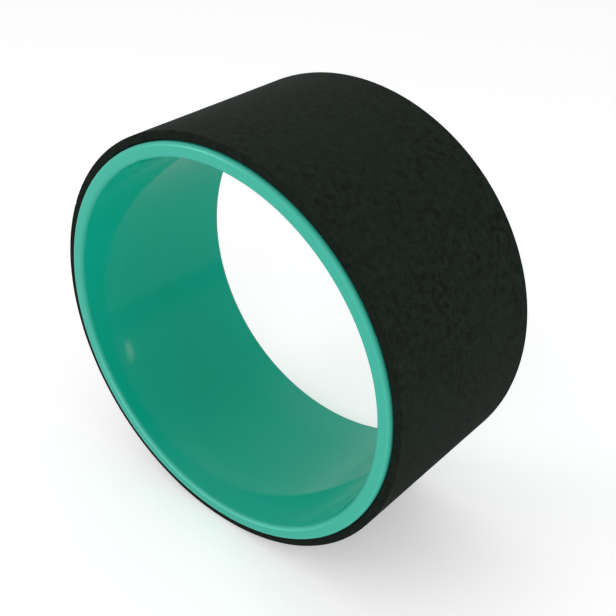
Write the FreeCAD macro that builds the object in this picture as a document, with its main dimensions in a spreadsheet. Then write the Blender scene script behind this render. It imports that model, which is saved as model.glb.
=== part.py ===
"""Yoga wheel: a moulded plastic hoop with a band of closed-cell foam bonded round it.

The wheel stands on its tread. Its axis is +Y, +Z is up and the origin is the wheel's centre.
All lengths are in millimetres and come from the Dimensions sheet.
"""

import FreeCAD, Part
import os

import Sketcher

PARTS_FOLDER = "parts"
SHEET = "Dimensions"

# Driving dimensions: alias, value, and what it measures.
DIMENSIONS = [
    ("hoop_outer_diameter", 316.0, "outside of the plastic hoop, under the foam"),
    ("hoop_wall", 11.0, "thickness of the hoop's wall, as its rim shows"),
    ("hoop_width", 161.5, "hoop from rim face to rim face"),
    ("rim_mouth_round", 3.0, "rounding where the rim turns into the bore"),
    ("rim_edge_round", 2.3, "rounding of the rim's outer edge"),
    ("film_thickness", 0.25, "contact adhesive between hoop and foam"),
    ("film_inset", 2.0, "adhesive stops this far inside the foam's edge"),
    ("film_clearance", 0.15, "left free between the adhesive and the foam"),
    ("foam_thickness", 6.6, "thickness of the foam band"),
    ("foam_setback", 2.5, "foam's edge behind the rim face"),
    ("foam_edge_round", 0.9, "rounding of the foam's cut edge"),
    ("seam_gap", 0.4, "glue line where the band's two ends meet"),
    ("seam_position", 205.0, "degrees round the axis from +X, towards -Z, to the seam"),
]

FULL_TURN = 360.0
FACE_TOLERANCE = 1e-6
MM3_PER_CM3 = 1000.0

# How a sketch numbers the two ends of a line, its own origin and its X axis.
START, END = 1, 2
ORIGIN = X_AXIS = -1


def make_sheet(doc):
    """The spreadsheet with one aliased cell for each driving dimension."""
    sheet = doc.addObject("Spreadsheet::Sheet", SHEET)
    for row, (alias, value, meaning) in enumerate(DIMENSIONS, start=1):
        sheet.set(f"A{row}", meaning)
        sheet.set(f"B{row}", str(value))
        sheet.setAlias(f"B{row}", alias)
    doc.recompute()
    return sheet


def cell(alias):
    """The expression that reads one driving dimension."""
    return f"{SHEET}.{alias}"


# Sizes that follow from the driving dimensions, written as expressions.
HOOP_OUTER_RADIUS = f"{cell('hoop_outer_diameter')} / 2"
BORE_RADIUS = f"({HOOP_OUTER_RADIUS} - {cell('hoop_wall')})"
FILM_OUTER_RADIUS = f"({HOOP_OUTER_RADIUS} + {cell('film_thickness')})"
FOAM_INNER_RADIUS = f"({FILM_OUTER_RADIUS} + {cell('film_clearance')})"
TREAD_RADIUS = f"({FOAM_INNER_RADIUS} + {cell('foam_thickness')})"
HOOP_HALF_WIDTH = f"{cell('hoop_width')} / 2"
FOAM_HALF_WIDTH = f"({HOOP_HALF_WIDTH} - {cell('foam_setback')})"
FILM_HALF_WIDTH = f"({FOAM_HALF_WIDTH} - {cell('film_inset')})"
SEAM_ANGLE = f"({cell('seam_gap')} / {FOAM_INNER_RADIUS} * 180 / pi)"


def number(doc, expression):
    """The present value of an expression over the sheet."""
    return float(doc.getObject(SHEET).evalExpression(expression))


def origin_plane(body, role):
    """One of the body's own origin planes."""
    return next(f for f in body.Origin.OriginFeatures if f.Role == role)


def section_sketch(doc, body, inner_radius, outer_radius, half_width):
    """The ring's cross-section: a rectangle beside the Y axis, even about the X axis."""
    sketch = body.newObject("Sketcher::SketchObject", body.Name + "_section")
    sketch.AttachmentSupport = [(origin_plane(body, "XY_Plane"), "")]
    sketch.MapMode = "FlatFace"
    low = number(doc, inner_radius)
    high = number(doc, outer_radius)
    half = number(doc, half_width)
    corners = [(low, -half), (high, -half), (high, half), (low, half)]
    points = [FreeCAD.Vector(x, y, 0) for x, y in corners]
    lines = [
        sketch.addGeometry(Part.LineSegment(first, second), False)
        for first, second in zip(points, points[1:] + points[:1])
    ]
    for line, following in zip(lines, lines[1:] + lines[:1]):
        sketch.addConstraint(Sketcher.Constraint("Coincident", line, END, following, START))
    front, outside, back, inside = lines
    sketch.addConstraint(Sketcher.Constraint("Horizontal", front))
    sketch.addConstraint(Sketcher.Constraint("Horizontal", back))
    sketch.addConstraint(Sketcher.Constraint("Vertical", inside))
    sketch.addConstraint(Sketcher.Constraint("Symmetric", outside, START, outside, END, X_AXIS))
    sizes = [
        ("inner_radius", "DistanceX", front, low, inner_radius),
        ("outer_radius", "DistanceX", outside, high, outer_radius),
        ("half_width", "DistanceY", back, half, half_width),
    ]
    for name, kind, line, value, expression in sizes:
        index = sketch.addConstraint(Sketcher.Constraint(kind, ORIGIN, START, line, START, value))
        sketch.renameConstraint(index, name)
        sketch.setExpression(f"Constraints.{name}", expression)
    return sketch


def ring_body(doc, label, inner_radius, outer_radius, half_width, turn=None):
    """A body whose section is turned about the Y axis, all the way round unless turn says less."""
    body = doc.addObject("PartDesign::Body", label)
    body.Label = label
    sketch = section_sketch(doc, body, inner_radius, outer_radius, half_width)
    ring = body.newObject("PartDesign::Revolution", label + "_ring")
    ring.Profile = sketch
    ring.ReferenceAxis = (sketch, ["V_Axis"])
    ring.Angle = FULL_TURN
    if turn:
        ring.setExpression("Angle", turn)
    doc.recompute()
    return body


def rim_edges(shape, radius, half_width):
    """Names of the round edges of that radius at the ring's two ends."""
    names = []
    for index, edge in enumerate(shape.Edges, start=1):
        if not isinstance(edge.Curve, Part.Circle):
            continue
        at_radius = abs(edge.Curve.Radius - radius) < FACE_TOLERANCE
        at_an_end = abs(abs(edge.CenterOfMass.y) - half_width) < FACE_TOLERANCE
        if at_radius and at_an_end:
            names.append(f"Edge{index}")
    return names


def round_rim(doc, body, name, radius, half_width, rounding):
    """Rounds the two end edges of that radius."""
    base = body.Tip
    edges = rim_edges(base.Shape, number(doc, radius), number(doc, half_width))
    fillet = body.newObject("PartDesign::Fillet", name)
    fillet.Base = (base, edges)
    fillet.setExpression("Radius", rounding)
    doc.recompute()
    return fillet


def turn_to(doc, body, angle):
    """Turns the whole body about the wheel's axis."""
    turned = FreeCAD.Rotation(FreeCAD.Vector(0, 1, 0), number(doc, angle))
    body.Placement = FreeCAD.Placement(FreeCAD.Vector(), turned)
    body.setExpression("Placement.Rotation.Angle", angle)


def core_hoop(doc):
    """The moulded hoop that carries the load, with a soft mouth to its bore."""
    body = ring_body(doc, "core_hoop", BORE_RADIUS, HOOP_OUTER_RADIUS, HOOP_HALF_WIDTH)
    round_rim(doc, body, "bore_mouth", BORE_RADIUS, HOOP_HALF_WIDTH, cell("rim_mouth_round"))
    round_rim(doc, body, "rim_edge", HOOP_OUTER_RADIUS, HOOP_HALF_WIDTH, cell("rim_edge_round"))
    return body


def adhesive_film(doc):
    """The coat of contact adhesive on the hoop. It stops short of the foam's edges."""
    return ring_body(doc, "adhesive_film", HOOP_OUTER_RADIUS, FILM_OUTER_RADIUS, FILM_HALF_WIDTH)


def foam_band(doc):
    """The strip of foam, wrapped once round so that its two ends face each other at the seam."""
    wrap = f"{FULL_TURN} - {SEAM_ANGLE}"
    body = ring_body(doc, "foam_band", FOAM_INNER_RADIUS, TREAD_RADIUS, FOAM_HALF_WIDTH, wrap)
    round_rim(doc, body, "cut_edge", TREAD_RADIUS, FOAM_HALF_WIDTH, cell("foam_edge_round"))
    turn_to(doc, body, cell("seam_position"))
    return body


def seam_glue(doc):
    """The glue line that fills the gap between the strip's two ends."""
    body = ring_body(doc, "seam_glue", FOAM_INNER_RADIUS, TREAD_RADIUS, FOAM_HALF_WIDTH, SEAM_ANGLE)
    round_rim(doc, body, "glue_edge", TREAD_RADIUS, FOAM_HALF_WIDTH, cell("foam_edge_round"))
    turn_to(doc, body, f"{cell('seam_position')} - {SEAM_ANGLE}")
    return body


def check_document(doc):
    """Stops if any object failed to build."""
    for item in doc.Objects:
        failed = [word for word in item.State if word in ("Invalid", "Error")]
        if failed:
            raise RuntimeError(f"{item.Label} failed: {item.State}")


def write_parts(bodies):
    """Writes each sub-part's solid to its own file."""
    os.makedirs(PARTS_FOLDER, exist_ok=True)
    for body in bodies:
        shape = body.Shape
        if shape.isNull() or not shape.isValid() or not shape.Solids:
            raise RuntimeError(f"{body.Label} has no valid solid")
        box = shape.optimalBoundingBox()
        print(
            f"{body.Label}: {len(shape.Solids)} solid, {shape.Volume / MM3_PER_CM3:.1f} cm3, "
            f"{box.XLength:.2f} x {box.YLength:.2f} x {box.ZLength:.2f} mm"
        )
        shape.exportStep(os.path.join(PARTS_FOLDER, body.Label + ".step"))


def main():
    doc = FreeCAD.newDocument("yoga_wheel")
    make_sheet(doc)
    bodies = [core_hoop(doc), adhesive_film(doc), foam_band(doc), seam_glue(doc)]
    doc.recompute()
    check_document(doc)
    write_parts(bodies)


main()
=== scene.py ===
# %% [markdown]
# # A yoga wheel, dressed over its frame
# The wheel is a glossy plastic hoop with a strip of black foam glued round it.
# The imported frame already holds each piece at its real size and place, in metres, with the
# wheel's axis along Y. So this lesson starts from the frame, and then only adds what the eye
# sees: foam, gloss, light and a camera.

# %% Load the frame
import math

import bmesh
import bpy
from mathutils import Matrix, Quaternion, Vector, noise


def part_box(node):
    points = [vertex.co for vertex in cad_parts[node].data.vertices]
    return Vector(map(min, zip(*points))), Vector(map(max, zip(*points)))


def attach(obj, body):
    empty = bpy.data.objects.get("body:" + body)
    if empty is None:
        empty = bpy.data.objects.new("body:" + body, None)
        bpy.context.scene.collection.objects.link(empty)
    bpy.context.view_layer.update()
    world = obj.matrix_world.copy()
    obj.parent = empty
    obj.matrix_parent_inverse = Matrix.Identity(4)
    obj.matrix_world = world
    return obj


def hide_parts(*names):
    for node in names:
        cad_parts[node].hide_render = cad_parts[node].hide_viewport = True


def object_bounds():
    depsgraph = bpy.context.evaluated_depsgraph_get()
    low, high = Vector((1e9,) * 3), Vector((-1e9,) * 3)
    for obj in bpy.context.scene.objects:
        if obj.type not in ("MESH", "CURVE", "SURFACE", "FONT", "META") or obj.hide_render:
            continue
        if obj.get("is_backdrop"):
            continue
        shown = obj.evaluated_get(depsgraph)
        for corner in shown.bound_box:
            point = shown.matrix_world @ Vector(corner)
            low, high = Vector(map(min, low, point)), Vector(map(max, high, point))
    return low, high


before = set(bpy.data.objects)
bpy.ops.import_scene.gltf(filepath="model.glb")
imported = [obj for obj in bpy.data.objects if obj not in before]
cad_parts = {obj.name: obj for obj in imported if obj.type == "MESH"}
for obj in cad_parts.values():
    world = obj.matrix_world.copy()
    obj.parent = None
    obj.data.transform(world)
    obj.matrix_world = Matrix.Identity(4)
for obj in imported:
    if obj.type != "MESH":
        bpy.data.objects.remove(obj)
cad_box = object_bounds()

print("nodes:", sorted(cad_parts))

# %% [markdown]
# ## Sizes
# Every piece made here has to sit in the space that its solid holds. The sizes are the ones that
# the frame was built from, written in millimetres and turned to metres once.

# %% Sizes of the wheel
MM = 0.001
HOOP_RADIUS = 158.0 * MM
HOOP_HALF_WIDTH = 80.75 * MM
BORE_RADIUS = 147.0 * MM
FOAM_INNER_RADIUS = 158.4 * MM
TREAD_RADIUS = 165.0 * MM
FOAM_HALF_WIDTH = 78.25 * MM
CUT_EDGE_ROUND = 0.9 * MM
SEAM_GAP = 0.4 * MM
SEAM_TURN = math.radians(205.0)

low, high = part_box("foam_band")
print(f"foam in the frame: {(high.x - low.x) / MM:.1f} across, {(high.y - low.y) / MM:.1f} wide")


# %% [markdown]
# ## A helper for places on the wheel
# Everything on a wheel is easiest to say as a radius, a turn about the axis and a place along
# the axis. The turn starts at +X and goes towards -Z, as the frame's own seam does.

# %% Places on the wheel
def on_wheel(radius, turn, along):
    """The point at that radius and turn, and that far along the axis."""
    return Vector((radius * math.cos(turn), along, -radius * math.sin(turn)))


print("the seam is at", [round(c / MM) for c in on_wheel(TREAD_RADIUS, SEAM_TURN, 0.0)], "mm")

# %% [markdown]
# ## From rings of points to a piece
# Each piece here is a skin over rings of points. Modifiers could make such skins too, but rings
# that are joined in code leave one plain mesh, with every row of faces where it is wanted.
# Edges sharper than 50 degrees stay crisp, and all else is shaded smooth.
# A second helper puts the mesh in the scene, under the wheel's root, and hides the frame's solid
# that it stands for.

# %% Skins and pieces
SHARP_OVER = math.radians(50.0)


def skinned(name, rings, closed=False):
    """A mesh over rings of points. The last ring meets the first, or else both ends are capped."""
    made = bmesh.new()
    rows = [[made.verts.new(point) for point in ring] for ring in rings]
    pairs = list(zip(rows, rows[1:]))
    if closed:
        pairs.append((rows[-1], rows[0]))
    else:
        made.faces.new(list(reversed(rows[0])))
        made.faces.new(rows[-1])
    for row, following in pairs:
        for i in range(len(row)):
            j = (i + 1) % len(row)
            made.faces.new((row[i], row[j], following[j], following[i]))
    bmesh.ops.recalc_face_normals(made, faces=made.faces)
    mesh = bpy.data.meshes.new(name)
    made.to_mesh(mesh)
    made.free()
    mesh.shade_smooth()
    mesh.set_sharp_from_angle(angle=SHARP_OVER)
    return mesh


def add_piece(name, mesh, node):
    """Puts a mesh in the scene as a piece of the wheel that stands for the named node."""
    piece = bpy.data.objects.new(name, mesh)
    bpy.context.scene.collection.objects.link(piece)
    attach(piece, "root")
    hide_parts(node)
    print(f"{name}: {len(mesh.vertices)} points, {len(mesh.polygons)} faces")
    return piece


# %% [markdown]
# ## Helpers for a section
# A ring is easiest to make from its section: a closed loop of points, each with a radius and a
# place along the axis. Three helpers draw the loop. One spaces values evenly. One does so along
# a flat, with a close pair at each end, so that smooth shading doesn't bleed from a rounding
# into the flat beside it. The last draws a quarter round.

# %% Helpers for a section
SUPPORT = 0.15 * MM
OUTWARD, BACK, INWARD, FRONT = 0.0, 90.0, 180.0, 270.0
QUARTER_TURN = 90.0


def spread(first, last, count):
    """Evenly spaced values from first up to, but not including, last."""
    return [first + (last - first) * i / count for i in range(count)]


def flat(first, last, count):
    """Values from first up to, but not including, last, with a close pair at each end."""
    step = math.copysign(SUPPORT, last - first)
    return [first] + spread(first + step, last - step, count) + [last - step]


def quarter(radius, along, rounding, start, count):
    """Points of a quarter round about a centre, from one of the four named sides to the next."""
    turns = spread(math.radians(start), math.radians(start + QUARTER_TURN), count)
    return [(radius + rounding * math.cos(a), along + rounding * math.sin(a)) for a in turns]


# %% [markdown]
# ## The moulded hoop
# The hoop carries the load. It is one moulding with a smooth bore, two flat rims, a soft mouth
# and a small outer rounding. The frame's own solid has this shape, but its round faces come as
# long flat facets, and a gloss shows each of them as a dot of light. So the section is drawn
# again and turned about the axis in steps too fine to see.
# A moulded bore needs draft to come off its core, so it narrows a little towards the middle.
# The eye can't measure that, but a gloss shows it: it moves the place where the wall starts to
# mirror what lies behind the wheel.

# %% Moulded hoop
MOUTH_ROUND = 3.0 * MM
RIM_EDGE_ROUND = 2.3 * MM
BORE_DRAFT = 1.5 * MM
HOOP_STEPS = 600
MOUTH_ROWS = 14
RIM_EDGE_ROWS = 10
RIM_ROWS = 4
WALL_ROWS = 40


def bore_radius(along):
    """The bore's radius at a place along the axis: full at the mouths, least in the middle."""
    share = along / (HOOP_HALF_WIDTH - MOUTH_ROUND)
    return BORE_RADIUS - BORE_DRAFT * (1.0 - share ** 2)


def hoop_section():
    """Radius and place along the axis of each point, from the front mouth round to the bore."""
    mouth_radius = BORE_RADIUS + MOUTH_ROUND
    mouth_place = HOOP_HALF_WIDTH - MOUTH_ROUND
    edge_radius = HOOP_RADIUS - RIM_EDGE_ROUND
    edge_place = HOOP_HALF_WIDTH - RIM_EDGE_ROUND
    loop = quarter(mouth_radius, -mouth_place, MOUTH_ROUND, INWARD, MOUTH_ROWS)
    loop += [(r, -HOOP_HALF_WIDTH) for r in flat(mouth_radius, edge_radius, RIM_ROWS)]
    loop += quarter(edge_radius, -edge_place, RIM_EDGE_ROUND, FRONT, RIM_EDGE_ROWS)
    loop += [(HOOP_RADIUS, y) for y in flat(-edge_place, edge_place, WALL_ROWS)]
    loop += quarter(edge_radius, edge_place, RIM_EDGE_ROUND, OUTWARD, RIM_EDGE_ROWS)
    loop += [(r, HOOP_HALF_WIDTH) for r in flat(edge_radius, mouth_radius, RIM_ROWS)]
    loop += quarter(mouth_radius, mouth_place, MOUTH_ROUND, BACK, MOUTH_ROWS)
    loop += [(bore_radius(y), y) for y in flat(mouth_place, -mouth_place, WALL_ROWS)]
    return loop


hoop_rings = [
    [on_wheel(r, turn, y) for r, y in hoop_section()]
    for turn in spread(0.0, 2 * math.pi, HOOP_STEPS)
]
hoop_mesh = skinned("moulded_hoop", hoop_rings, closed=True)
hoop = add_piece("moulded_hoop", hoop_mesh, "core_hoop")

# %% [markdown]
# ## The foam band's section
# The real band is a strip that was split from a foam block, die-cut to width and wrapped round
# the hoop. A knife leaves its two long edges nearly square, with a small soft rounding. Where
# the strip meets the hoop its foot pulls back a little too, which makes the thin dark line
# beside the rim. A bevel modifier on a plain ring could round the edges as well, but the loop
# also gives even rows of faces on the tread, which the uneven surface below needs.

# %% Section of the foam band
FOOT_ROUND = 1.0 * MM
CUT_FACE_ROWS = 6
EDGE_ROWS = 7
TREAD_ROWS = 64
INNER_ROWS = 16


def foam_section():
    """Radius and place along the axis of each point, from the front foot round to the inside."""
    foot_radius = FOAM_INNER_RADIUS + FOOT_ROUND
    foot_place = FOAM_HALF_WIDTH - FOOT_ROUND
    edge_radius = TREAD_RADIUS - CUT_EDGE_ROUND
    edge_place = FOAM_HALF_WIDTH - CUT_EDGE_ROUND
    loop = quarter(foot_radius, -foot_place, FOOT_ROUND, INWARD, EDGE_ROWS)
    loop += [(r, -FOAM_HALF_WIDTH) for r in spread(foot_radius, edge_radius, CUT_FACE_ROWS)]
    loop += quarter(edge_radius, -edge_place, CUT_EDGE_ROUND, FRONT, EDGE_ROWS)
    loop += [(TREAD_RADIUS, y) for y in spread(-edge_place, edge_place, TREAD_ROWS)]
    loop += quarter(edge_radius, edge_place, CUT_EDGE_ROUND, OUTWARD, EDGE_ROWS)
    loop += [(r, FOAM_HALF_WIDTH) for r in spread(edge_radius, foot_radius, CUT_FACE_ROWS)]
    loop += quarter(foot_radius, foot_place, FOOT_ROUND, BACK, EDGE_ROWS)
    loop += [(FOAM_INNER_RADIUS, y) for y in spread(foot_place, -foot_place, INNER_ROWS)]
    return loop


section = foam_section()
print("points round the foam's section:", len(section))

# %% [markdown]
# ## The foam band
# Foam is soft and the strip is stretched by hand as it is glued down, so its tread is never a
# perfect cylinder. Slow noise sinks each point of the tread by up to about a tenth of a
# millimetre, which is enough to make light drift over it. Near its two ends the strip is pinched
# in a little, so that the butt joint shows as a fine groove.
# A cloth simulation would suit a loose pad. This strip is bonded tight on a rigid hoop, so
# moving its points by noise is closer to it, and the band comes out the same each time.

# %% Foam band
BAND_STEPS = 900
TREAD_WANDER = 0.14 * MM
TREAD_WANDER_LENGTH = 45.0 * MM
CUT_WANDER = 0.10 * MM
CUT_WANDER_LENGTH = 22.0 * MM
CUT_NOISE_START = Vector((9.0, 0.0, 0.0))
PINCH_LENGTH = 2.2 * MM
PINCH_DEPTH = 0.55 * MM
PINCH_STEPS = 8


def softened(radius, along, turn, from_end):
    """A point of the strip after stretching and pinching."""
    depth = (radius - FOAM_INNER_RADIUS) / (TREAD_RADIUS - FOAM_INNER_RADIUS)
    place = on_wheel(TREAD_RADIUS, turn, along)
    wander = TREAD_WANDER * noise.noise(place / TREAD_WANDER_LENGTH)
    side = CUT_WANDER * noise.noise(place / CUT_WANDER_LENGTH + CUT_NOISE_START)
    pinch = PINCH_DEPTH * max(0.0, 1.0 - from_end / PINCH_LENGTH) ** 2
    inward = ((wander - TREAD_WANDER) / 2 - pinch) * depth
    return on_wheel(radius + inward, turn, along + side * along / FOAM_HALF_WIDTH)


def strip_turns():
    """Turns along the strip, closer near its two ends, each with the way to the nearer end."""
    wrap = 2 * math.pi - SEAM_GAP / FOAM_INNER_RADIUS
    pinch_turn = PINCH_LENGTH / TREAD_RADIUS
    first_end = spread(0.0, pinch_turn, PINCH_STEPS)
    between = spread(pinch_turn, wrap - pinch_turn, BAND_STEPS) + [wrap - pinch_turn]
    last_end = [wrap - t for t in reversed(first_end)]
    turns = first_end + between + last_end
    return [(SEAM_TURN + t, min(t, wrap - t) * TREAD_RADIUS) for t in turns]


foam_rings = [
    [softened(r, y, turn, from_end) for r, y in section]
    for turn, from_end in strip_turns()
]
foam = add_piece("foam_strip", skinned("foam_strip", foam_rings), "foam_band")

# %% [markdown]
# ## The seam's glue line
# Where the strip's two ends are butted, a line of contact adhesive squeezes up and dries a
# little uneven. It is a low bead that lies in the groove across the tread. A bevelled curve
# could draw it, but it would be round all along. Rings let its height and width wander.

# %% Glue line
GLUE_STATIONS = 180
GLUE_INSET = 0.15 * MM
GLUE_SINK = 0.66 * MM
GLUE_WANDER = 0.16 * MM
GLUE_CROWN = 0.32 * MM
GLUE_MEAN_SHARE = 0.6
GLUE_FOOT_SHARE = 0.4
GLUE_WANDER_LENGTH = 7.0 * MM
GLUE_NOISE_LINE = 3.1
GLUE_SPREAD_SHARES = [-1.0, -0.55, 0.0, 0.55, 1.0]
GLUE_RISE_SHARES = [-1.0, -0.2, 0.0, -0.2, -1.0]


def glue_rings():
    """The bead's sections, from the front cut face to the back one."""
    middle = SEAM_TURN - SEAM_GAP / FOAM_INNER_RADIUS / 2
    half_length = FOAM_HALF_WIDTH - GLUE_INSET
    rings = []
    for along in spread(-half_length, half_length, GLUE_STATIONS) + [half_length]:
        drift = noise.noise(Vector((along / GLUE_WANDER_LENGTH, GLUE_NOISE_LINE, 0.0)))
        half_turn = (SEAM_GAP / 2 + GLUE_WANDER * (GLUE_MEAN_SHARE + drift)) / TREAD_RADIUS
        near_edge = max(0.0, abs(along) - (FOAM_HALF_WIDTH - CUT_EDGE_ROUND))
        top = TREAD_RADIUS - GLUE_SINK + GLUE_WANDER * drift - near_edge
        foot = [
            on_wheel(FOAM_INNER_RADIUS, middle + half_turn * share, along)
            for share in (GLUE_FOOT_SHARE, -GLUE_FOOT_SHARE)
        ]
        bead = [
            on_wheel(top + GLUE_CROWN * rise, middle + half_turn * share, along)
            for share, rise in zip(GLUE_SPREAD_SHARES, GLUE_RISE_SHARES)
        ]
        rings.append(bead + foot)
    return rings


glue_mesh = skinned("seam_bead", glue_rings())
glue = add_piece("seam_bead", glue_mesh, "seam_glue")


# %% [markdown]
# ## Colours and nodes
# Colours are written as the sRGB hex values that a colour picker shows. Shaders work in linear
# light, so one function turns them. One more small function adds a shader node with its settings
# and its links, which keeps each material readable from top to bottom.

# %% Colours and nodes
def linear(hex_colour):
    """An sRGB hex colour as linear RGBA, by the sRGB curve."""
    parts = [int(hex_colour[i:i + 2], 16) / 255 for i in (1, 3, 5)]
    return [c / 12.92 if c <= 0.04045 else ((c + 0.055) / 1.055) ** 2.4 for c in parts] + [1.0]


def add_node(tree, kind, links=None, inputs=None, **settings):
    """Adds a node, sets its properties and sockets, and links other nodes' outputs to it."""
    made = tree.nodes.new(kind)
    for name, value in settings.items():
        setattr(made, name, value)
    for socket, value in (inputs or {}).items():
        made.inputs[socket].default_value = value
    for socket, source in (links or {}).items():
        tree.links.new(source, made.inputs[socket])
    return made


print("middle grey in linear light:", round(linear("#808080")[0], 3))


# %% [markdown]
# ## Starting and ending a material
# Every material starts as an empty tree and ends with a link to its output. Marks on a surface
# are sized in millimetres, and a texture's scale is one over that size. Where a finish changes
# across the wheel, it is found by the distance from the wheel's middle plane.

# %% Starting and ending a material
def new_material(name):
    """An empty node material and its tree."""
    material = bpy.data.materials.new(name)
    material.use_nodes = True
    material.node_tree.nodes.clear()
    return material, material.node_tree


def end_material(material, shader):
    """Links the shader to the material's output, and says how much was made."""
    add_node(material.node_tree, "ShaderNodeOutputMaterial", {"Surface": shader})
    print(f"{material.name}: {len(material.node_tree.nodes)} nodes")
    return material


def set_stops(ramp, stops):
    """Gives a colour ramp its stops, each with a position from 0 to 1 and a colour."""
    elements = ramp.color_ramp.elements
    while len(elements) < len(stops):
        elements.new(1.0)
    for element, (position, colour) in zip(elements, stops):
        element.position = position
        element.color = colour


def per_metre(size):
    """The texture scale that gives marks of about that size."""
    return 1.0 / size


def wheel_places(tree):
    """Each point's place on the wheel, and how far it lies from the wheel's middle plane."""
    place = add_node(tree, "ShaderNodeTexCoord").outputs["Object"]
    along = add_node(tree, "ShaderNodeSeparateXYZ", {"Vector": place}).outputs["Y"]
    from_middle = add_node(tree, "ShaderNodeMath", {0: along}, operation="ABSOLUTE")
    return place, from_middle.outputs["Value"]


# %% [markdown]
# ## Worn edges and painted highlights
# The rim has two edges: the outer one beside the foam, and the mouth of the bore. Each is painted
# paler along a thin line. On the outer edge, a faint line all round is wear, and a stronger
# stretch near the top is a painted highlight. On the mouth, the pale stretch along the lower half
# is a painted highlight. Such marks could be painted on the vertices, but nodes work at any mesh
# density. The edge is found by its distance from the axis, and the stretch by the angle between a
# point's direction and the middle of the stretch.

# %% Worn edges and painted highlights
# Outer edge: faint wear all round, and a painted highlight strongest near the top.
OUTER_EDGE_WEAR_AND_HIGHLIGHT = {
    "radius": 156.0 * MM, "half width": 1.0 * MM,
    "middle": math.radians(265.0), "even for": 0.0, "gone after": math.radians(18.0),
    "most": 0.6, "least": 0.1,
}
# Mouth of the bore: a painted highlight along the lower half.
BORE_MOUTH_HIGHLIGHT = {
    "radius": 149.2 * MM, "half width": 1.8 * MM,
    "middle": math.radians(100.0), "even for": math.radians(40.0),
    "gone after": math.radians(70.0), "most": 0.37, "least": 0.0,
}


def stretch_wear_and_painted_light(tree, from_axis, edge):
    """How strong a stretch of wear, painted highlight and painted reflection is at each point's
    turn.
    """
    outward = add_node(tree, "ShaderNodeVectorMath", {0: from_axis}, operation="NORMALIZE")
    towards = add_node(
        tree, "ShaderNodeVectorMath", {0: outward.outputs["Vector"]},
        {1: on_wheel(1.0, edge["middle"], 0.0)}, operation="DOT_PRODUCT",
    )
    angle = add_node(
        tree, "ShaderNodeMath", {0: towards.outputs["Value"]}, operation="ARCCOSINE",
    )
    return add_node(
        tree, "ShaderNodeMapRange", {"Value": angle.outputs["Value"]},
        {
            "From Min": edge["even for"], "From Max": edge["gone after"],
            "To Min": edge["most"], "To Max": edge["least"],
        },
    )


def edge_wear_and_highlight(tree, from_axis, edge):
    """How strongly an edge line of wear and painted highlight shows at each point, from 0 to 1."""
    radius = add_node(tree, "ShaderNodeVectorMath", {0: from_axis}, operation="LENGTH")
    inside = add_node(
        tree, "ShaderNodeMath", {0: radius.outputs["Value"]}, {1: edge["radius"]},
        operation="SUBTRACT",
    )
    beside = add_node(tree, "ShaderNodeMath", {0: inside.outputs["Value"]}, operation="ABSOLUTE")
    line = add_node(
        tree, "ShaderNodeMapRange", {"Value": beside.outputs["Value"]},
        {"From Max": edge["half width"], "To Min": 1.0, "To Max": 0.0},
        interpolation_type="SMOOTHSTEP",
    )
    stretch = stretch_wear_and_painted_light(tree, from_axis, edge)
    return add_node(
        tree, "ShaderNodeMath", {0: line.outputs["Result"], 1: stretch.outputs["Result"]},
        operation="MULTIPLY",
    )


# %% [markdown]
# ## Worn rims and the painted wall reflection
# The rims are what hands and floors touch, so they are finely worn all round. The wall just
# inside the mouth is painted paler along one stretch, a painted reflection, and made rougher there.
# Both are found from the distance to the middle plane, so front and back are marked alike.

# %% Worn rims and the painted wall reflection
RUBBED_FROM = 76.8 * MM
RUBBED_FULLY = 79.2 * MM
# The painted wall reflection: a paler, rougher stretch of the wall just inside the mouth.
WALL_REFLECTION_FROM = 30.0 * MM
WALL_REFLECTION_FULLY = 66.0 * MM
PAINTED_WALL_REFLECTION = {
    "middle": math.radians(62.0), "even for": math.radians(38.0),
    "gone after": math.radians(66.0), "most": 0.42, "least": 0.0,
}


def rubbed_and_reflection_places(tree, from_middle, from_axis):
    """How much wear the rims have at each point, and that together with the painted wall
    reflection.
    """
    rims, inside_mouth = [
        add_node(
            tree, "ShaderNodeMapRange", {"Value": from_middle},
            {"From Min": start, "From Max": full}, interpolation_type="SMOOTHSTEP",
        ).outputs["Result"]
        for start, full in ((RUBBED_FROM, RUBBED_FULLY), (WALL_REFLECTION_FROM, WALL_REFLECTION_FULLY))
    ]
    reflection_stretch = stretch_wear_and_painted_light(tree, from_axis, PAINTED_WALL_REFLECTION)
    wall = add_node(
        tree, "ShaderNodeMath", {0: reflection_stretch.outputs["Result"], 1: inside_mouth},
        operation="MULTIPLY",
    )
    both = add_node(
        tree, "ShaderNodeMath", {0: rims, 1: wall.outputs["Value"]}, operation="MAXIMUM",
    )
    return rims, both.outputs["Value"]


# %% [markdown]
# ## The colour of the ABS
# The hoop is ABS, coloured through, so it has an even body colour with only the faintest flow
# marks. Rubbing scatters light, so the rims are paler than the bore. One stretch of the wall is
# painted a little paler, as a painted reflection, and the edge lines are palest: faint wear on
# the outer edge, and painted highlights on both edges.
# All of it is drawn from the object's own coordinates, so it stays put when the wheel turns.

# %% Colour of the ABS
BODY_DEEP, BODY_PALE = linear("#0FA98E"), linear("#12B096")
# Paler colour of the worn rims, also used for the painted wall reflection.
RUBBED_AND_REFLECTION_COLOUR = linear("#3FAF9A")
# The palest colour: faint wear on the outer edge, and the painted highlights on both edges.
WORN_AND_HIGHLIGHT_COLOUR = linear("#78E8CE")
FLOW_MARKS = 70.0 * MM


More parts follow.
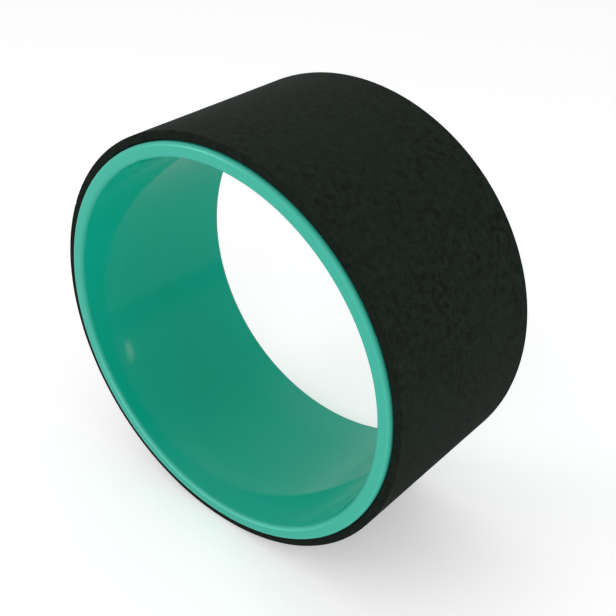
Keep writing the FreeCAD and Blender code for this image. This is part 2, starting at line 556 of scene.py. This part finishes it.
def abs_colour(tree, place, from_axis, rims, rubbed_and_reflection):
    """The plastic's colour: its body, then the paler rims and painted wall reflection, then edge
    lines.
    """
    flow = add_node(
        tree, "ShaderNodeTexNoise", {"Vector": place},
        {"Scale": per_metre(FLOW_MARKS), "Detail": 3.0, "Roughness": 0.5},
    )
    body = add_node(
        tree, "ShaderNodeMixRGB", {"Fac": flow.outputs["Fac"]},
        {"Color1": BODY_DEEP, "Color2": BODY_PALE},
    )
    paler = add_node(
        tree, "ShaderNodeMixRGB", {"Fac": rubbed_and_reflection, "Color1": body.outputs["Color"]},
        {"Color2": RUBBED_AND_REFLECTION_COLOUR},
    )
    outer_edge, mouth = [
        edge_wear_and_highlight(tree, from_axis, edge).outputs["Value"] for edge in (OUTER_EDGE_WEAR_AND_HIGHLIGHT, BORE_MOUTH_HIGHLIGHT)
    ]
    edges = add_node(tree, "ShaderNodeMath", {0: outer_edge, 1: mouth}, operation="ADD")
    worn_and_highlit = add_node(
        tree, "ShaderNodeMath", {0: edges.outputs["Value"], 1: rims}, operation="MULTIPLY",
    )
    palest = add_node(
        tree, "ShaderNodeMixRGB",
        {"Fac": worn_and_highlit.outputs["Value"], "Color1": paler.outputs["Color"]},
        {"Color2": WORN_AND_HIGHLIGHT_COLOUR},
    )
    return palest.outputs["Color"]


# %% [markdown]
# ## Moulded ABS
# The hoop is injection moulded in a polished tool, which leaves a clear gloss. ABS has an index
# of refraction of about 1.53, but the photograph's reflections are fainter than that gives, so
# the specular level is lowered to match. The tool's polish gives a roughness of about 0.06, and
# rubbing adds to it. Cooling leaves a faint orange-peel wave of a few millimetres.

# %% Moulded ABS
ACROSS_AXIS = (1.0, 0.0, 1.0)
SCUFFS = 9.0 * MM
POLISH_LEAST, POLISH_MOST = 0.05, 0.08
RUBBED_ROUGHNESS = 0.09
ORANGE_PEEL = 5.0 * MM
PEEL_HEIGHT = 0.02 * MM


def moulded_abs():
    """The hoop's plastic: clear gloss in the bore, duller and paler on the rims and painted
    reflection.
    """
    material, tree = new_material("moulded ABS, polished tool")
    place, from_middle = wheel_places(tree)
    from_axis = add_node(
        tree, "ShaderNodeVectorMath", {0: place}, {1: ACROSS_AXIS}, operation="MULTIPLY",
    ).outputs["Vector"]
    rims, rubbed_and_reflection = rubbed_and_reflection_places(tree, from_middle, from_axis)
    scuffs = add_node(
        tree, "ShaderNodeTexNoise", {"Vector": place},
        {"Scale": per_metre(SCUFFS), "Detail": 6.0, "Roughness": 0.65},
    )
    polish = add_node(
        tree, "ShaderNodeMapRange", {"Value": scuffs.outputs["Fac"]},
        {"From Min": 0.35, "From Max": 0.75, "To Min": POLISH_LEAST, "To Max": POLISH_MOST},
    )
    dulled = add_node(
        tree, "ShaderNodeMath", {0: rubbed_and_reflection, 2: polish.outputs["Result"]},
        {1: RUBBED_ROUGHNESS}, operation="MULTIPLY_ADD",
    )
    peel = add_node(
        tree, "ShaderNodeTexNoise", {"Vector": place},
        {"Scale": per_metre(ORANGE_PEEL), "Detail": 1.0, "Roughness": 0.4},
    )
    wave = add_node(
        tree, "ShaderNodeBump", {"Height": peel.outputs["Fac"]},
        {"Strength": 0.05, "Distance": PEEL_HEIGHT},
    )
    shader = add_node(
        tree, "ShaderNodeBsdfPrincipled",
        {
            "Base Color": abs_colour(tree, place, from_axis, rims, rubbed_and_reflection),
            "Roughness": dulled.outputs["Value"],
            "Normal": wave.outputs["Normal"],
        },
        {"IOR": 1.53, "Specular IOR Level": 0.17},
    )
    return end_material(material, shader.outputs["BSDF"])


hoop_finish = moulded_abs()

# %% [markdown]
# ## The colour of the foam
# The strip is black EVA foam with closed cells. Its split skin has a fine grain. Broader,
# fainter mottling comes from uneven skin and from handling. The strip's long cut faces are
# darker, because the knife leaves open cells that trap light.

# %% Colour of the foam
SKIN_STOPS = [(0.32, linear("#0A0E0A")), (0.70, linear("#252F27"))]
HANDLED_COLOUR = linear("#1C2A24")
HANDLED_MOST = 0.4
CUT_COLOUR = linear("#060806")
CUT_MOST = 0.45
MOTTLING = 60.0 * MM
CUT_FACE_FROM = FOAM_HALF_WIDTH - 0.85 * MM
CUT_FACE_FULLY = FOAM_HALF_WIDTH - 0.25 * MM


def foam_colour(tree, place, from_middle, grain):
    """The foam's colour: grained skin, then handling, then the cut faces."""
    skin = add_node(tree, "ShaderNodeValToRGB", {"Fac": grain})
    set_stops(skin, SKIN_STOPS)
    mottle = add_node(
        tree, "ShaderNodeTexNoise", {"Vector": place},
        {"Scale": per_metre(MOTTLING), "Detail": 3.0, "Roughness": 0.55},
    )
    handled = add_node(
        tree, "ShaderNodeMapRange", {"Value": mottle.outputs["Fac"]},
        {"From Min": 0.3, "From Max": 0.7, "To Max": HANDLED_MOST},
    )
    tread = add_node(
        tree, "ShaderNodeMixRGB",
        {"Fac": handled.outputs["Result"], "Color1": skin.outputs["Color"]},
        {"Color2": HANDLED_COLOUR},
    )
    on_cut = add_node(
        tree, "ShaderNodeMapRange", {"Value": from_middle},
        {"From Min": CUT_FACE_FROM, "From Max": CUT_FACE_FULLY, "To Max": CUT_MOST},
    )
    darker = add_node(
        tree, "ShaderNodeMixRGB",
        {"Fac": on_cut.outputs["Result"], "Color1": tread.outputs["Color"]},
        {"Color2": CUT_COLOUR},
    )
    return darker.outputs["Color"]


# %% [markdown]
# ## Closed-cell EVA foam
# Splitting the foam block leaves a matt skin of tiny cells, under half a millimetre across. At
# this picture's scale such cells are smaller than a pixel, so they are drawn about 1.6 mm across
# to show at all. Foam scatters light in its cells and hardly shines, so its specular level is
# low and its roughness high.

# %% Closed-cell EVA foam
CELLS = 1.6 * MM
GRAIN = 5.0 * MM
CELL_HEIGHT = 0.25 * MM
MATT_LEAST, MATT_MOST = 0.80, 0.95


def eva_foam():
    """The strip's foam: matt, grained and nearly black."""
    material, tree = new_material("closed-cell EVA foam, split skin")
    place, from_middle = wheel_places(tree)
    cells = add_node(
        tree, "ShaderNodeTexVoronoi", {"Vector": place}, {"Scale": per_metre(CELLS)},
        feature="F1",
    )
    grain = add_node(
        tree, "ShaderNodeTexNoise", {"Vector": place},
        {"Scale": per_metre(GRAIN), "Detail": 5.0, "Roughness": 0.75},
    ).outputs["Fac"]
    relief = add_node(
        tree, "ShaderNodeMath", {0: cells.outputs["Distance"], 1: grain}, operation="ADD",
    )
    bump = add_node(
        tree, "ShaderNodeBump", {"Height": relief.outputs["Value"]},
        {"Strength": 0.35, "Distance": CELL_HEIGHT},
    )
    matt = add_node(
        tree, "ShaderNodeMapRange", {"Value": grain},
        {"From Min": 0.3, "From Max": 0.7, "To Min": MATT_LEAST, "To Max": MATT_MOST},
    )
    shader = add_node(
        tree, "ShaderNodeBsdfPrincipled",
        {
            "Base Color": foam_colour(tree, place, from_middle, grain),
            "Roughness": matt.outputs["Result"],
            "Normal": bump.outputs["Normal"],
        },
        {"IOR": 1.48, "Specular IOR Level": 0.12},
    )
    return end_material(material, shader.outputs["BSDF"])


foam_finish = eva_foam()

# %% [markdown]
# ## Dried contact adhesive
# Contact adhesive is brushed on and dries to a dark, slightly rubbery film with a dull shine and
# small lumps. One noise gives the lumps, and drives colour, shine and bump together, so that a
# lump looks like one thing.

# %% Dried contact adhesive
LUMPS = 1.5 * MM
LUMP_HEIGHT = 0.2 * MM
SHINE_LEAST, SHINE_MOST = 0.45, 0.7
ADHESIVE_DARK, ADHESIVE_PALE = linear("#080807"), linear("#141310")


def contact_adhesive():
    """The adhesive of the film and the seam: dark, lumpy and dull."""
    material, tree = new_material("contact adhesive, brushed and dried")
    place = add_node(tree, "ShaderNodeTexCoord").outputs["Object"]
    lumps = add_node(
        tree, "ShaderNodeTexNoise", {"Vector": place},
        {"Scale": per_metre(LUMPS), "Detail": 3.0, "Roughness": 0.6},
    ).outputs["Fac"]
    colour = add_node(
        tree, "ShaderNodeMixRGB", {"Fac": lumps},
        {"Color1": ADHESIVE_DARK, "Color2": ADHESIVE_PALE},
    )
    bump = add_node(
        tree, "ShaderNodeBump", {"Height": lumps}, {"Strength": 0.4, "Distance": LUMP_HEIGHT},
    )
    shine = add_node(
        tree, "ShaderNodeMapRange", {"Value": lumps},
        {"To Min": SHINE_LEAST, "To Max": SHINE_MOST},
    )
    shader = add_node(
        tree, "ShaderNodeBsdfPrincipled",
        {
            "Base Color": colour.outputs["Color"],
            "Roughness": shine.outputs["Result"],
            "Normal": bump.outputs["Normal"],
        },
        {"IOR": 1.5, "Specular IOR Level": 0.2},
    )
    return end_material(material, shader.outputs["BSDF"])


adhesive_finish = contact_adhesive()


# %% [markdown]
# ## Putting the finishes on
# Each new piece gets its finish here. The adhesive film keeps its solid from the frame, and only
# its material changes.

# %% Finishes
def set_finish(piece, material):
    """Gives a piece one material and nothing else."""
    piece.data.materials.clear()
    piece.data.materials.append(material)
    print(piece.name, "now wears", material.name)


set_finish(hoop, hoop_finish)
set_finish(foam, foam_finish)
set_finish(glue, adhesive_finish)
set_finish(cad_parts["adhesive_film"], adhesive_finish)

# %% [markdown]
# ## Floor
# The wheel is shown on white. A wide pale floor gives that, with a soft shadow to stand on.

# %% Floor
FLOOR_SIZE = 200.0

half_floor = FLOOR_SIZE / 2
sides = [(-1, -1), (1, -1), (1, 1), (-1, 1)]
corners = [(x * half_floor, y * half_floor, -TREAD_RADIUS) for x, y in sides]
floor_mesh = bpy.data.meshes.new("floor")
floor_mesh.from_pydata(corners, [], [(0, 1, 2, 3)])
floor = bpy.data.objects.new("floor", floor_mesh)
bpy.context.scene.collection.objects.link(floor)
floor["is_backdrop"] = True
print(f"floor: {FLOOR_SIZE:.0f} m square, at the foot of the tread")

# %% [markdown]
# ## The floor's finish
# The floor glows a little, as a lit translucent sweep does, because a floor that only reflects
# would look grey beside the paper white of the picture.
# The gloss tells another story: the floor that it mirrors is darker than paper, and darker again
# far out on the right. So the floor loses part of its light to mirrored rays. A Light Path node
# tells those from the camera's own rays. A second, darker floor could do the same, but it would
# show from some sides.

# %% Floor's finish
FLOOR_GLOW = 0.29
MIRRORED_LOSS = [
    # metres to the right of the wheel, share of the floor's light that is lost to the gloss
    (-0.7, 0.30), (-0.2, 0.52), (0.4, 0.52), (0.8, 0.85),
]
LOSS_REACH = 1.0


def studio_floor():
    """The floor's white, which is dimmer in the gloss than to the camera."""
    material, tree = new_material("matt white studio floor")
    shader = add_node(
        tree, "ShaderNodeBsdfPrincipled",
        inputs={
            "Base Color": linear("#FAFAFA"), "Roughness": 0.9, "Specular IOR Level": 0.1,
            "Emission Color": linear("#FFFFFF"), "Emission Strength": FLOOR_GLOW,
        },
    )
    place = add_node(tree, "ShaderNodeTexCoord").outputs["Object"]
    rightward = add_node(tree, "ShaderNodeSeparateXYZ", {"Vector": place}).outputs["X"]
    reach = add_node(
        tree, "ShaderNodeMapRange", {"Value": rightward},
        {"From Min": -LOSS_REACH, "From Max": LOSS_REACH},
    )
    loss = add_node(tree, "ShaderNodeValToRGB", {"Fac": reach.outputs["Result"]})
    set_stops(loss, [
        ((metres / LOSS_REACH + 1.0) / 2, (share, share, share, 1.0))
        for metres, share in MIRRORED_LOSS
    ])
    mirrored = add_node(tree, "ShaderNodeLightPath").outputs["Is Glossy Ray"]
    dimming = add_node(
        tree, "ShaderNodeMath", {0: mirrored, 1: loss.outputs["Color"]}, operation="MULTIPLY",
    )
    dimmed = add_node(
        tree, "ShaderNodeMixShader",
        {"Fac": dimming.outputs["Value"], 1: shader.outputs["BSDF"]},
    )
    return end_material(material, dimmed.outputs["Shader"])


set_finish(floor, studio_floor())

# %% [markdown]
# ## White surround
# A glossy bore mirrors the room, so the room matters as much as the lamps. The surround is
# brighter on the left than on the right, which puts the paler sheen on the near wall. Down by
# the floor it takes the far floor's brightness, but mirrored rays meet a darker low edge there on
# the right, as on the floor. The camera itself is shown the far floor's brightness all over, so
# the backdrop is plain and has no hard horizon from any side.

# %% White surround
BRIGHT_SIDE, DIM_SIDE = 0.86, 0.45
MIRRORED_LEFT, MIRRORED_RIGHT = 0.8, 0.15
DIM_FROM, BRIGHT_FROM = 0.35, -0.45
FAR_FLOOR = 0.905
HORIZON_BAND = 0.2

world = bpy.data.worlds.new("white surround")
bpy.context.scene.world = world
world.use_nodes = True
room = world.node_tree
surround = room.nodes["Background"]
surround.inputs["Color"].default_value = linear("#FFFFFF")
looking = add_node(room, "ShaderNodeTexCoord").outputs["Generated"]
heading = add_node(room, "ShaderNodeSeparateXYZ", {"Vector": looking})
sideways, mirrored_low = [
    add_node(
        room, "ShaderNodeMapRange", {"Value": heading.outputs["X"]},
        {
            "From Min": DIM_FROM, "From Max": BRIGHT_FROM,
            "To Min": on_the_right, "To Max": on_the_left,
        },
        interpolation_type="SMOOTHSTEP",
    ).outputs["Result"]
    for on_the_right, on_the_left in ((DIM_SIDE, BRIGHT_SIDE), (MIRRORED_RIGHT, MIRRORED_LEFT))
]
near_floor = add_node(
    room, "ShaderNodeMapRange", {"Value": heading.outputs["Z"]},
    {"From Max": HORIZON_BAND, "To Min": 1.0, "To Max": 0.0}, interpolation_type="SMOOTHSTEP",
).outputs["Result"]
print(f"surround: {DIM_SIDE} on the right, {BRIGHT_SIDE} on the left, {FAR_FLOOR} by the floor")

# %% [markdown]
# ## Which ray sees what
# The surround's brightness is one number, mixed step by step: first the low band for mirrored
# rays, then that band with the room above it, and last what the camera is shown.

# %% Which ray sees what
ray = add_node(room, "ShaderNodeLightPath")
by_floor = add_node(
    room, "ShaderNodeMix", {"Factor": ray.outputs["Is Glossy Ray"], "B": mirrored_low},
    {"A": FAR_FLOOR},
).outputs["Result"]
brightness = add_node(
    room, "ShaderNodeMix", {"Factor": near_floor, "A": sideways, "B": by_floor},
).outputs["Result"]
shown = add_node(
    room, "ShaderNodeMix", {"Factor": ray.outputs["Is Camera Ray"], "A": brightness},
    {"B": FAR_FLOOR},
).outputs["Result"]
room.links.new(shown, surround.inputs["Strength"])
print("nodes in the surround:", len(room.nodes))

# %% [markdown]
# ## Soft boxes
# Four large soft boxes give the slow highlights. Their powers were found by rendering each box
# alone and solving for the mix that comes nearest to the photograph. The cloth of a soft box is
# brightest in its middle, so each one fades towards its edges, and the bore mirrors it as a soft
# patch. A thin strip behind the wheel makes the one small upright glint on the bore. It leans so
# that the curved wall mirrors it upright.

# %% Soft boxes
SOFT_BOXES = [
    # name, place in metres, width, height, watts, lean in degrees
    ("front left box", (-1.1, -1.7, 1.0), 1.6, 1.6, 14.1, 0.0),
    ("front right box", (1.1, -1.7, 1.2), 2.1, 2.1, 28.5, 0.0),
    ("right box", (2.0, 0.1, 0.9), 2.1, 2.1, 6.6, 0.0),
    ("top box", (0.0, -0.3, 2.0), 3.5, 3.5, 5.4, 0.0),
    ("back right strip", (1.463, 0.849, 0.455), 0.023, 0.55, 0.37, -5.6),
]
# Places on a box run from 0 to 1 along its width and height.
BOX_CENTRE = (0.5, 0.5, 0.0)
BOX_EVEN_TO, BOX_DARK_FROM = 0.15, 0.5
BEAM = (0.0, 0.0, 1.0)


def fade_to_edges(cloth):
    """Makes a light's node tree brightest in the middle and dark at the edges."""
    spot = add_node(cloth, "ShaderNodeNewGeometry").outputs["Parametric"]
    off_centre = add_node(
        cloth, "ShaderNodeVectorMath", {0: spot}, {1: BOX_CENTRE}, operation="DISTANCE",
    )
    fade = add_node(
        cloth, "ShaderNodeMapRange", {"Value": off_centre.outputs["Value"]},
        {"From Min": BOX_EVEN_TO, "From Max": BOX_DARK_FROM, "To Min": 1.0, "To Max": 0.0},
        interpolation_type="SMOOTHSTEP",
    )
    cloth.links.new(fade.outputs["Result"], cloth.nodes["Emission"].inputs["Strength"])


def soft_box(name, place, width, height, watts, lean):
    """An area light at a place, turned to face the wheel and then leaned about its own beam."""
    data = bpy.data.lights.new(name, "AREA")
    data.shape = "RECTANGLE"
    data.size = width
    data.size_y = height
    data.energy = watts
    data.use_nodes = True
    fade_to_edges(data.node_tree)
    lamp = bpy.data.objects.new(name, data)
    lamp.location = place
    lamp.rotation_mode = "QUATERNION"
    facing_wheel = (-Vector(place)).to_track_quat("-Z", "Y")
    lamp.rotation_quaternion = facing_wheel @ Quaternion(BEAM, math.radians(lean))
    bpy.context.scene.collection.objects.link(lamp)


for box in SOFT_BOXES:
    soft_box(*box)
print("soft boxes:", len(SOFT_BOXES))

# %% [markdown]
# ## Camera
# A camera can be set by eye, but here it was found by fitting the edges of the rim, the bore and
# the tread to the photograph. It looks down on the wheel from the front right. The picture is a
# crop of a larger one, so the lens is shifted.

# %% Camera
PICTURE = 616.0
SENSOR = 36.0
AZIMUTH = math.radians(43.97)
ELEVATION = math.radians(36.89)
DISTANCE = 721.54 * MM
ASIDE = -52.86 * MM
RAISED = -46.88 * MM
FOCAL_PIXELS = 919.72
CENTRE_PIXEL = (215.0, 371.0)

back = Vector((
    math.sin(AZIMUTH) * math.cos(ELEVATION),
    -math.cos(AZIMUTH) * math.cos(ELEVATION),
    math.sin(ELEVATION),
))
right = Vector((math.cos(AZIMUTH), math.sin(AZIMUTH), 0.0))
up = back.cross(right)
camera_data = bpy.data.cameras.new("camera")
camera_data.sensor_width = SENSOR
camera_data.lens = FOCAL_PIXELS / PICTURE * SENSOR
camera_data.shift_x = (PICTURE / 2 - CENTRE_PIXEL[0]) / PICTURE
camera_data.shift_y = (CENTRE_PIXEL[1] - PICTURE / 2) / PICTURE
camera = bpy.data.objects.new("camera", camera_data)
camera.location = back * DISTANCE + right * ASIDE + up * RAISED
camera.rotation_mode = "QUATERNION"
camera.rotation_quaternion = (-back).to_track_quat("-Z", "Y")
bpy.context.scene.collection.objects.link(camera)
bpy.context.scene.camera = camera
bpy.context.scene.view_settings.view_transform = "Standard"
print(f"lens {camera_data.lens:.1f} mm, shift {camera_data.shift_x:.3f}, {camera_data.shift_y:.3f}")

# %% [markdown]
# ## Last checks
# The dressed wheel must keep the frame's size, so both boxes are printed.

# %% Sizes and finish
dressed_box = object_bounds()
boxes = {
    "cad": [list(corner) for corner in cad_box],
    "visual": [list(corner) for corner in dressed_box],
}
for name, (lowest, highest) in boxes.items():
    print(name, [round((b - a) / MM, 2) for a, b in zip(lowest, highest)], "mm")
